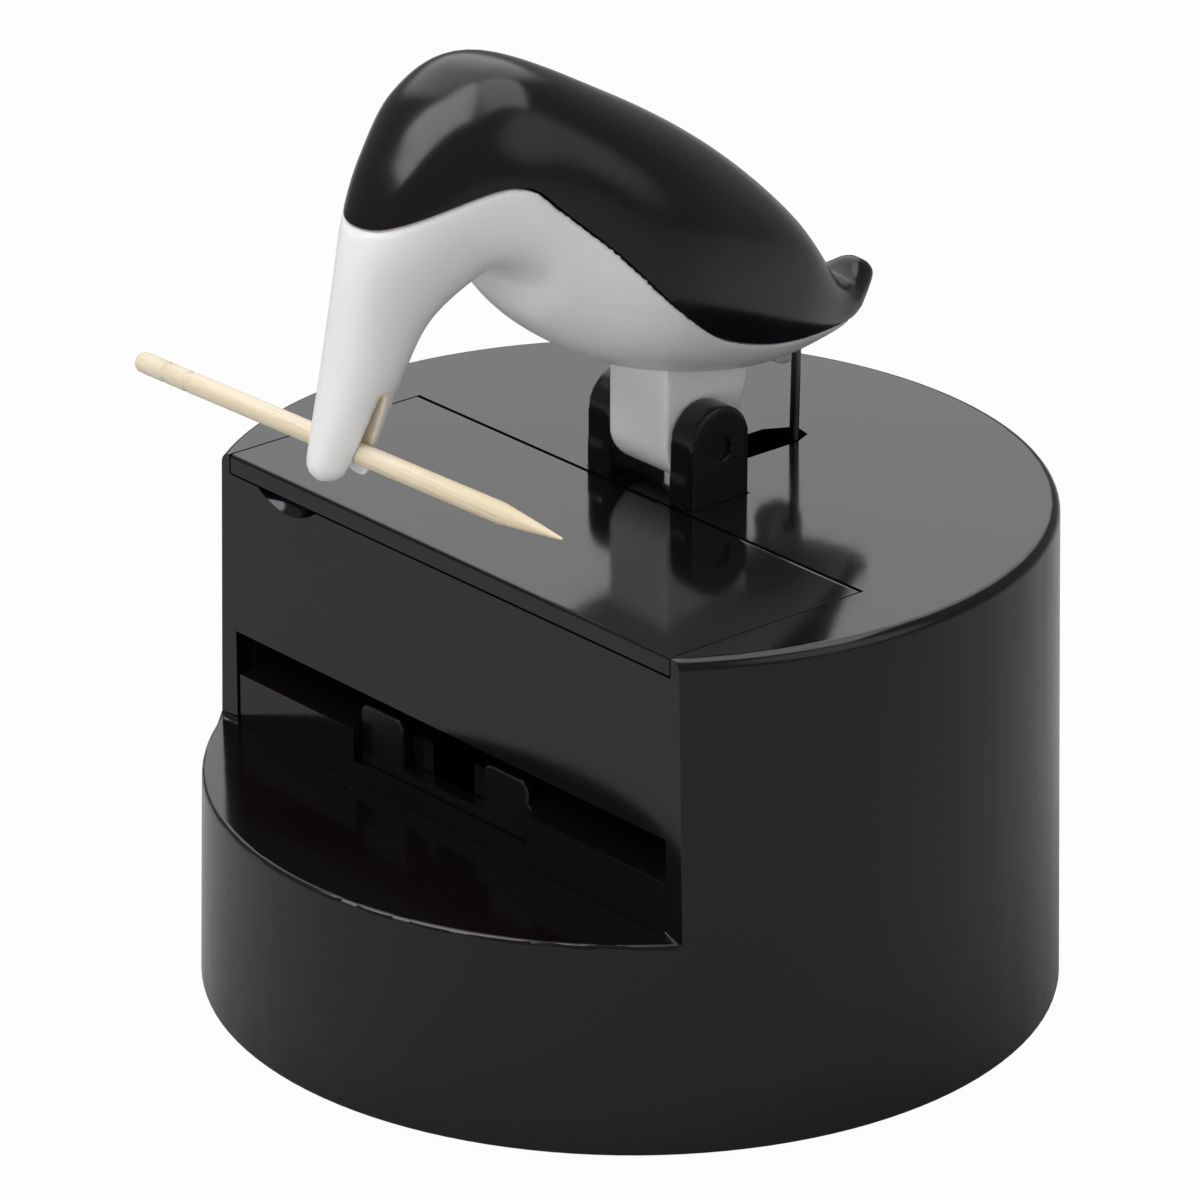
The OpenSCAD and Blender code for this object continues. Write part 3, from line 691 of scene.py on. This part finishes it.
def spline(points, u):
    """A point on the smooth curve through a list of points; a whole number u is the list's own point."""
    last = len(points) - 1
    i = min(int(u), last - 1)
    t = u - i
    b, c = points[i], points[i + 1]
    a = points[i - 1] if i > 0 else tuple(2 * x - y for x, y in zip(b, c))
    d = points[i + 2] if i < last - 1 else tuple(2 * x - y for x, y in zip(c, b))
    point = []
    for o, q, r, s in zip(a, b, c, d):
        linear, square, cubic = r - o, 2 * o - 5 * q + 4 * r - s, 3 * q - 3 * r + s - o
        point.append(0.5 * (2 * q + linear * t + square * t * t + cubic * t ** 3))
    return tuple(point)


SEAM = [spline(PARTING, k / LINE_STEPS) for k in range(LINE_STEPS * (len(PARTING) - 1) + 1)]


def bulge(v):
    return math.copysign(abs(v) ** (2 / ROUNDNESS), v)


def bird_ring(station, inset, count):
    """One ring of the bird's surface, or of a surface that lies inset within it."""
    back_y, back_z, belly_y, belly_z, half_width = station
    middle_y, middle_z = (back_y + belly_y) / 2, (back_z + belly_z) / 2
    half_y, half_z = (back_y - belly_y) / 2, (back_z - belly_z) / 2
    length = math.hypot(half_y, half_z)
    tall = max(length - inset, SMALLEST_HALF)
    wide = max(half_width - inset, SMALLEST_HALF)
    ring = []
    for k in range(count):
        t = 2 * math.pi * k / count
        along, across = bulge(math.cos(t)), bulge(math.sin(t))
        ring.append((wide * across, middle_y + half_y / length * tall * along,
                     middle_z + half_z / length * tall * along))
    return ring


def dome_rings(ring, reach):
    """Rings that round off the end of a loft, reaching out beyond its last ring."""
    last = [Vector(p) for p in ring]
    middle = sum(last, Vector()) / len(last)
    across = last[0] - middle
    ahead = Vector((0, -across.z, across.y)).normalized()
    ahead *= math.copysign(reach, ahead.y)
    rings = []
    for k in range(1, DOME_STEPS + 1):
        a = math.radians(DOME_STEP_ANGLE * k)
        rings.append([tuple(middle + (p - middle) * math.cos(a) + ahead * math.sin(a)) for p in last])
    return rings


def loft(name, stations, inset, step, count, dome=0.0):
    """A solid through the bird's rings between two numbers along the list of stations."""
    start, end = stations
    rings = []
    number = round((end - start) / step)
    for k in range(number + 1):
        rings.append(bird_ring(spline(STATIONS, start + (end - start) * k / number), inset, count))
    if dome:
        rings += dome_rings(rings[-1], dome)
    points = [p for ring in rings for p in ring]
    faces = []
    for i in range(len(rings) - 1):
        for j in range(count):
            a, b = i * count + j, i * count + (j + 1) % count
            faces.append((a, a + count, b + count, b))
    faces.append(tuple(range(count)))
    faces.append(tuple(range(len(points) - 1, len(points) - count - 1, -1)))
    return from_faces(name, points, faces)


def prism(name, outline, low, high):
    """A solid across X with an outline of (y, z) points."""
    n = len(outline)
    points = [(low, y, z) for y, z in outline] + [(high, y, z) for y, z in outline]
    faces = [tuple(range(n - 1, -1, -1)), tuple(range(n, 2 * n))]
    faces += [(i, (i + 1) % n, n + (i + 1) % n, n + i) for i in range(n)]
    made = from_faces(name, points, faces)
    bm = bmesh.new()
    bm.from_mesh(made.data)
    bmesh.ops.recalc_face_normals(bm, faces=bm.faces)
    bm.to_mesh(made.data)
    bm.free()
    return made


def block(name, low, high):
    """A box between two corners."""
    outline = [(low[1], low[2]), (high[1], low[2]), (high[1], high[2]), (low[1], high[2])]
    return prism(name, outline, low[0], high[0])


def above_seam(name, lift):
    """All that lies above the parting line, which is lifted a little first."""
    top = [(PARTING[-1][0], CUT_TOP), (PARTING[0][0], CUT_TOP)]
    return prism(name, [(y, z + lift) for y, z in SEAM] + top, -CUT_HALF, CUT_HALF)


def cut(obj, cutters, operation="DIFFERENCE"):
    for cutter in cutters:
        modifier = obj.modifiers.new("cut", "BOOLEAN")
        modifier.operation = operation
        modifier.solver = "EXACT"
        modifier.object = cutter
        settle(obj)


def finish_outer(obj):
    """Smooths the tail's end and keeps the crown just within the solid's height."""
    bm = bmesh.new()
    bm.from_mesh(obj.data)
    tail = [v for v in bm.verts if v.co.y > TAIL_Y * MM]
    for _ in range(TAIL_PASSES):
        bmesh.ops.smooth_vert(bm, verts=tail, factor=0.5, use_axis_x=True, use_axis_y=True, use_axis_z=True)
    bm.to_mesh(obj.data)
    bm.free()
    crown = CROWN_Z * MM
    for v in obj.data.vertices:
        v.co.z = min(v.co.z, crown + (v.co.z - crown) * CROWN_SQUEEZE)


outer = loft("outer", OUTER_STATIONS, inset=0, step=0.1, count=88, dome=TAIL_DOME)
finish_outer(outer)
inner = loft("inner", INNER_STATIONS, inset=SHELL, step=0.2, count=48)
above = above_seam("above", 0)
above_wide = above_seam("above_wide", -WHITE_GAP)

back_shell = new_object("back_shell_smooth", outer.data.copy())
cut(back_shell, [above], "INTERSECT")
cut(back_shell, [inner])
smooth_shade(back_shell, 40)
stand_for(back_shell, "back_shell", "bird_black")

# ---------------------------------------------------------------- white shell
SEAT_R, SEAT_SIDES = PICK_R + 0.05, 40
SEAT = [(PICK_Y + SEAT_R * math.cos(2 * math.pi * k / SEAT_SIDES),
         PICK_Z + SEAT_R * math.sin(2 * math.pi * k / SEAT_SIDES)) for k in range(SEAT_SIDES)]
SLIT = [(PICK_Y - 1.0, PICK_Z), (PICK_Y - 0.9, PICK_Z + 0.4), (-34.8, 72.9), (-34.5, 73.0), (-34.2, 72.7),
        (PICK_Y + 0.9, PICK_Z + 0.4), (PICK_Y + 1.0, PICK_Z), (PICK_Y + 0.8, 60), (PICK_Y - 1.9, 60)]
SLIT_HALF = 10
# where the painted shade inside the slit lies: its lowest and highest z and its reach to each side of the
# slit
SLIT_SHADE_BOTTOM, SLIT_SHADE_TOP, SLIT_SHADE_REACH = PICK_Z - 0.6, 73.3, 1.1
SLIT_LEAN = 0.322
LEG_HOLE = ((-4.45, 0.65, 60), (4.45, 11.95, 69.1))
BAR_SLOT = ((-3.35, 3.95, 60), (-0.85, 24.45, 70))
# each prong of the beak ends in a dome: y of its middle, half its length and width, end z, height
FRONT_PRONG = (-39.4, 2.0, 2.75, 64.35, 1.9)
REAR_PRONG = (-34.75, 1.3, 2.3, 63.9, 1.4)
PRONGS_TOP, PRONGS_SPLIT = 68, PICK_Y - 0.4
WHITE_VOXEL, WHITE_FACTOR, WHITE_PASSES = 0.236, 0.5, 9
GROOVE_REACH, GROOVE_DEPTH = 0.7, 0.22


def round_prongs(mesh):
    """Lifts what hangs below the dome at the end of each of the beak's two prongs."""
    for v in mesh.vertices:
        x, y, z = v.co / MM
        if z > PRONGS_TOP:
            continue
        middle, half_length, half_width, end, tall = FRONT_PRONG if y < PRONGS_SPLIT else REAR_PRONG
        away = (x / half_width) ** 2 + ((y - middle) / half_length) ** 2
        dome = end + tall * (1 - math.sqrt(max(0.0, 1 - away)))
        if z < dome:
            v.co.z = dome * MM


def press_groove(mesh):
    """A shallow groove in the white shell along the parting line."""
    inward = []
    for v in mesh.vertices:
        y, z = (v.co / MM).yz
        near = [math.hypot(a - y, b - z) for a, b in SEAM if abs(a - y) < GROOVE_REACH]
        share = min(0.0, min(near, default=GROOVE_REACH) / GROOVE_REACH - 1)
        inward.append(v.normal * share * GROOVE_DEPTH * MM)
    for v, shift in zip(mesh.vertices, inward):
        v.co += shift


def paint_slit_shade(mesh):
    """Gives the faces inside the slit, above the stick, the second material: a warm, darker white that is
    painted shade in the slit.
    """
    mesh.materials.append(MATERIALS["slit_painted_shade"])
    for face in mesh.polygons:
        y, z = (face.center / MM).yz
        middle = PICK_Y + max(0, z - PICK_Z) * SLIT_LEAN
        if SLIT_SHADE_BOTTOM < z < SLIT_SHADE_TOP and abs(y - middle) < SLIT_SHADE_REACH:
            face.material_index = 1


slit = prism("slit", SLIT, -SLIT_HALF, SLIT_HALF)
seat = prism("seat", SEAT, -SLIT_HALF, SLIT_HALF)
leg_hole = block("leg_hole", *LEG_HOLE)
bar_slot = block("bar_slot", *BAR_SLOT)
belly = outer
belly.name = "belly_shell_smooth"
cut(belly, [above_wide, inner, slit, seat])
round_prongs(belly.data)
remesh(belly, WHITE_VOXEL)
relax(belly, WHITE_FACTOR, WHITE_PASSES)
press_groove(belly.data)
cut(belly, [leg_hole, bar_slot])
smooth_shade(belly, 50)
stand_for(belly, "belly_shell", "white")
# paints shade onto the faces inside the slit
paint_slit_shade(belly.data)
for cutter in (inner, above, above_wide, slit, seat, leg_hole, bar_slot):
    bpy.data.objects.remove(cutter)

# ---------------------------------------------------------------- floor and light
FLOOR_SIZE, FLOOR_GREY, FLOOR_ROUGHNESS = 6, 0.40, 0.9
WHITE = 1.0
WHITE_SHARE = 0.97  # how much of plain white the camera sees in the floor
ROOM_LIGHT = 0.2
# azimuth, elevation, angles within which it is full and beyond which it is gone, strength
BACKDROP = (-122, 40, 23, 34, 1.1)
SIDE_PANEL = (108, 30, 12, 32, 0.65)


def add_floor():
    """A plain floor, mid grey to the light and nearly white to the camera."""
    bpy.ops.mesh.primitive_plane_add(size=FLOOR_SIZE, location=(0, 0, 0))
    floor = bpy.context.object
    floor.name = "floor"
    material = bpy.data.materials.new("floor")
    tree = Tree(material)
    bsdf = tree.nodes["Principled BSDF"]
    bsdf.inputs["Base Color"].default_value = (FLOOR_GREY, FLOOR_GREY, FLOOR_GREY, 1)
    bsdf.inputs["Roughness"].default_value = FLOOR_ROUGHNESS
    bsdf.inputs["Specular IOR Level"].default_value = 0.0
    glow = tree.node("ShaderNodeEmission")
    glow.inputs["Strength"].default_value = WHITE
    mix = tree.node("ShaderNodeMixShader")
    tree.join(tree.calculate("MULTIPLY", tree.camera_ray(), WHITE_SHARE), mix.inputs["Fac"])
    tree.join(bsdf.outputs["BSDF"], mix.inputs[1])
    tree.join(glow.outputs["Emission"], mix.inputs[2])
    tree.join(mix.outputs["Shader"], tree.nodes["Material Output"].inputs["Surface"])
    floor.data.materials.append(material)


def add_room():
    """A dim room, a bright backdrop behind and above the object, and a soft panel at its right.
    The camera itself sees white."""
    world = bpy.data.worlds.new("studio")
    bpy.context.scene.world = world
    tree = Tree(world)
    around = tree.node("ShaderNodeTexCoord").outputs["Generated"]
    lobes = []
    for azimuth, elevation, full, gone, strength in (BACKDROP, SIDE_PANEL):
        toward = tree.node("ShaderNodeVectorMath", operation="DOT_PRODUCT")
        toward.inputs[1].default_value = direction(math.radians(azimuth), math.radians(elevation))
        tree.join(around, toward.inputs[0])
        edge = (math.cos(math.radians(gone)), math.cos(math.radians(full)))
        lobes.append(tree.span(toward.outputs["Value"], edge, (0.0, strength),
                               interpolation_type="SMOOTHSTEP"))
    room = tree.calculate("ADD", tree.calculate("ADD", *lobes), ROOM_LIGHT)
    seen = tree.node("ShaderNodeMix", data_type="FLOAT")
    tree.join(tree.camera_ray(), seen.inputs["Factor"])
    tree.join(room, seen.inputs[NUMBER_A])
    seen.inputs[NUMBER_B].default_value = WHITE
    background = tree.nodes["Background"]
    background.inputs["Color"].default_value = (1, 1, 1, 1)
    tree.join(seen.outputs[NUMBER_RESULT], background.inputs["Strength"])


def add_lamp(name, place, target, size, watts):
    lamp = bpy.data.lights.new(name, "AREA")
    lamp.shape = "RECTANGLE"
    lamp.size, lamp.size_y = size
    lamp.energy = watts
    obj = new_object(name, lamp)
    obj.location = place
    obj.rotation_mode = "QUATERNION"
    obj.rotation_quaternion = (Vector(target) - Vector(place)).to_track_quat("-Z", "Y")
    return obj


add_floor()
add_room()
add_lamp("key", (-0.21, -0.37, 0.80), (0, 0, 0.06), (0.65, 0.65), 4.8)
add_lamp("top", (0.05, 0.15, 0.75), (0, 0, 0.05), (0.5, 0.5), 1.5)
fill = add_lamp("fill", (0.40, -0.80, 0.22), (0, 0, 0.07), (0.8, 0.5), 3.3)
fill.visible_glossy = False

scene = bpy.context.scene
scene.view_settings.view_transform = "Standard"
